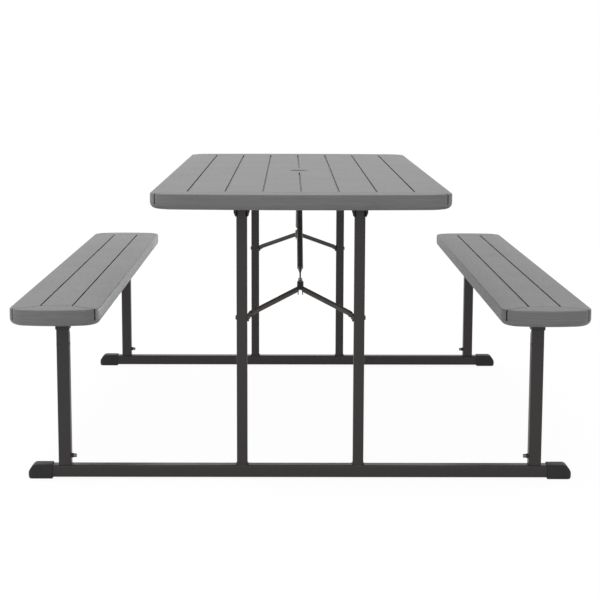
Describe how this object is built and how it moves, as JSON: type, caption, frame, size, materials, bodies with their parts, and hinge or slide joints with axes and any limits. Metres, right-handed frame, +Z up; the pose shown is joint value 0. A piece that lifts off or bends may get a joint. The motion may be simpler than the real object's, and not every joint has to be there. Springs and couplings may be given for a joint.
{
  "type": "folding bench table",
  "caption": "Rectangular moulded folding table with a parasol hole and attached side benches on folding steel end frames with wishbone braces",
  "frame": {"origin": "on the floor, under the middle of the table top", "axes": "+X across the table towards the right bench, +Y along the table away from the front end, +Z up"},
  "size_m": [1.438, 1.829, 0.737],
  "materials": {
    "panel_plastic": "moulded polyethylene, mid grey, faint grain",
    "skin_plastic": "moulded polyethylene, mid grey, plain",
    "cap_plastic": "black moulded plastic",
    "plated_steel": "dark zinc plate",
    "bracket_steel": "dark powder coat",
    "frame_steel": "charcoal powder coat, satin"
  },
  "bodies": {
    "top": {"table_top": "panel_plastic", "table_top_skin": "skin_plastic", "front_left_hinge_bracket": "bracket_steel", "front_right_hinge_bracket": "bracket_steel", "rear_left_hinge_bracket": "bracket_steel", "rear_right_hinge_bracket": "bracket_steel", "front_brace_bracket": "bracket_steel", "rear_brace_bracket": "bracket_steel", "top_pivot_bolts": "plated_steel", "top_bracket_screws": "plated_steel"},
    "front_frame": {"front_floor_rail": "frame_steel", "front_left_upright": "frame_steel", "front_right_upright": "frame_steel", "front_left_foot_cap": "cap_plastic", "front_right_foot_cap": "cap_plastic", "front_leg_sockets": "frame_steel", "front_yoke_bolts": "plated_steel"},
    "front_brace": {"front_brace_tube": "frame_steel"},
    "front_yoke": {"front_left_yoke_arm": "frame_steel", "front_right_yoke_arm": "frame_steel", "front_knee_clevis": "bracket_steel", "front_knee_rivet": "plated_steel"},
    "front_ring": {"front_lock_ring": "plated_steel"},
    "rear_frame": {"rear_floor_rail": "frame_steel", "rear_left_upright": "frame_steel", "rear_right_upright": "frame_steel", "rear_left_foot_cap": "cap_plastic", "rear_right_foot_cap": "cap_plastic", "rear_leg_sockets": "frame_steel", "rear_yoke_bolts": "plated_steel"},
    "rear_brace": {"rear_brace_tube": "frame_steel"},
    "rear_yoke": {"rear_left_yoke_arm": "frame_steel", "rear_right_yoke_arm": "frame_steel", "rear_knee_clevis": "bracket_steel", "rear_knee_rivet": "plated_steel"},
    "rear_ring": {"rear_lock_ring": "plated_steel"},
    "left_bench": {"left_bench_seat": "panel_plastic", "left_bench_skin": "skin_plastic", "left_leg_rivets": "plated_steel", "left_bench_screws": "plated_steel", "front_left_leg_bracket": "bracket_steel", "rear_left_leg_bracket": "bracket_steel"},
    "right_bench": {"right_bench_seat": "panel_plastic", "right_bench_skin": "skin_plastic", "right_leg_rivets": "plated_steel", "right_bench_screws": "plated_steel", "front_right_leg_bracket": "bracket_steel", "rear_right_leg_bracket": "bracket_steel"},
    "front_left_leg": {"front_left_bench_leg": "frame_steel"},
    "front_left_pin": {"front_left_lock_pin": "plated_steel"},
    "front_right_leg": {"front_right_bench_leg": "frame_steel"},
    "front_right_pin": {"front_right_lock_pin": "plated_steel"},
    "rear_left_leg": {"rear_left_bench_leg": "frame_steel"},
    "rear_left_pin": {"rear_left_lock_pin": "plated_steel"},
    "rear_right_leg": {"rear_right_bench_leg": "frame_steel"},
    "rear_right_pin": {"rear_right_lock_pin": "plated_steel"}
  },
  "joints": [
    {"name": "front_frame_fold", "type": "hinge", "parent": "top", "child": "front_frame", "pos_m": [0, -0.77, 0.678], "axis": [1, 0, 0], "range_deg": [0, 90]},
    {"name": "front_brace_swing", "type": "hinge", "parent": "top", "child": "front_brace", "pos_m": [0, -0.158, 0.694], "axis": [1, 0, 0], "range_deg": [-24.1, 0]},
    {"name": "front_knee_fold", "type": "hinge", "parent": "front_brace", "child": "front_yoke", "pos_m": [0, -0.6226, 0.4822], "axis": [1, 0, 0], "range_deg": [0, 175.5]},
    {"name": "front_ring_slide", "type": "slide", "parent": "front_yoke", "child": "front_ring", "axis": [0, 0.9099, 0.4148], "range_m": [0, 0.01]},
    {"name": "rear_frame_fold", "type": "hinge", "parent": "top", "child": "rear_frame", "pos_m": [0, 0.77, 0.678], "axis": [-1, 0, 0], "range_deg": [0, 90]},
    {"name": "rear_brace_swing", "type": "hinge", "parent": "top", "child": "rear_brace", "pos_m": [0, 0.158, 0.694], "axis": [-1, 0, 0], "range_deg": [-24.1, 0]},
    {"name": "rear_knee_fold", "type": "hinge", "parent": "rear_brace", "child": "rear_yoke", "pos_m": [0, 0.6226, 0.4822], "axis": [-1, 0, 0], "range_deg": [0, 175.5]},
    {"name": "rear_ring_slide", "type": "slide", "parent": "rear_yoke", "child": "rear_ring", "axis": [0, -0.9099, 0.4148], "range_m": [0, 0.01]},
    {"name": "left_bench_lift", "type": "slide", "parent": "top", "child": "left_bench", "axis": [0, 0, 1], "range_m": [0, 0.2841]},
    {"name": "right_bench_lift", "type": "slide", "parent": "top", "child": "right_bench", "axis": [0, 0, 1], "range_m": [0, 0.2841]},
    {"name": "front_left_leg_fold", "type": "hinge", "parent": "left_bench", "child": "front_left_leg", "pos_m": [-0.601, -0.77, 0.346], "axis": [1, 0, 0], "range_deg": [0, 90]},
    {"name": "front_left_pin_pull", "type": "slide", "parent": "front_left_leg", "child": "front_left_pin", "axis": [1, 0, 0], "range_m": [0, 0.01], "stiffness_N_per_m": 300},
    {"name": "front_right_leg_fold", "type": "hinge", "parent": "right_bench", "child": "front_right_leg", "pos_m": [0.601, -0.77, 0.346], "axis": [1, 0, 0], "range_deg": [0, 90]},
    {"name": "front_right_pin_pull", "type": "slide", "parent": "front_right_leg", "child": "front_right_pin", "axis": [-1, 0, 0], "range_m": [0, 0.01], "stiffness_N_per_m": 300},
    {"name": "rear_left_leg_fold", "type": "hinge", "parent": "left_bench", "child": "rear_left_leg", "pos_m": [-0.601, 0.77, 0.346], "axis": [-1, 0, 0], "range_deg": [0, 90]},
    {"name": "rear_left_pin_pull", "type": "slide", "parent": "rear_left_leg", "child": "rear_left_pin", "axis": [1, 0, 0], "range_m": [0, 0.01], "stiffness_N_per_m": 300},
    {"name": "rear_right_leg_fold", "type": "hinge", "parent": "right_bench", "child": "rear_right_leg", "pos_m": [0.601, 0.77, 0.346], "axis": [-1, 0, 0], "range_deg": [0, 90]},
    {"name": "rear_right_pin_pull", "type": "slide", "parent": "rear_right_leg", "child": "rear_right_pin", "axis": [-1, 0, 0], "range_m": [0, 0.01], "stiffness_N_per_m": 300}
  ],
  "couplings": [
    {"joint": "front_brace_swing", "follows": "front_frame_fold", "ratio": -0.26693},
    {"joint": "front_knee_fold", "follows": "front_frame_fold", "ratio": 1.9486},
    {"joint": "rear_frame_fold", "follows": "front_frame_fold", "ratio": 1},
    {"joint": "rear_brace_swing", "follows": "front_frame_fold", "ratio": -0.26693},
    {"joint": "rear_knee_fold", "follows": "front_frame_fold", "ratio": 1.9486},
    {"joint": "left_bench_lift", "follows": "front_frame_fold", "m_per_rad": 0.1808},
    {"joint": "right_bench_lift", "follows": "front_frame_fold", "m_per_rad": 0.1808},
    {"joint": "front_left_leg_fold", "follows": "front_frame_fold", "ratio": 1},
    {"joint": "front_right_leg_fold", "follows": "front_frame_fold", "ratio": 1},
    {"joint": "rear_left_leg_fold", "follows": "front_frame_fold", "ratio": 1},
    {"joint": "rear_right_leg_fold", "follows": "front_frame_fold", "ratio": 1}
  ]
}
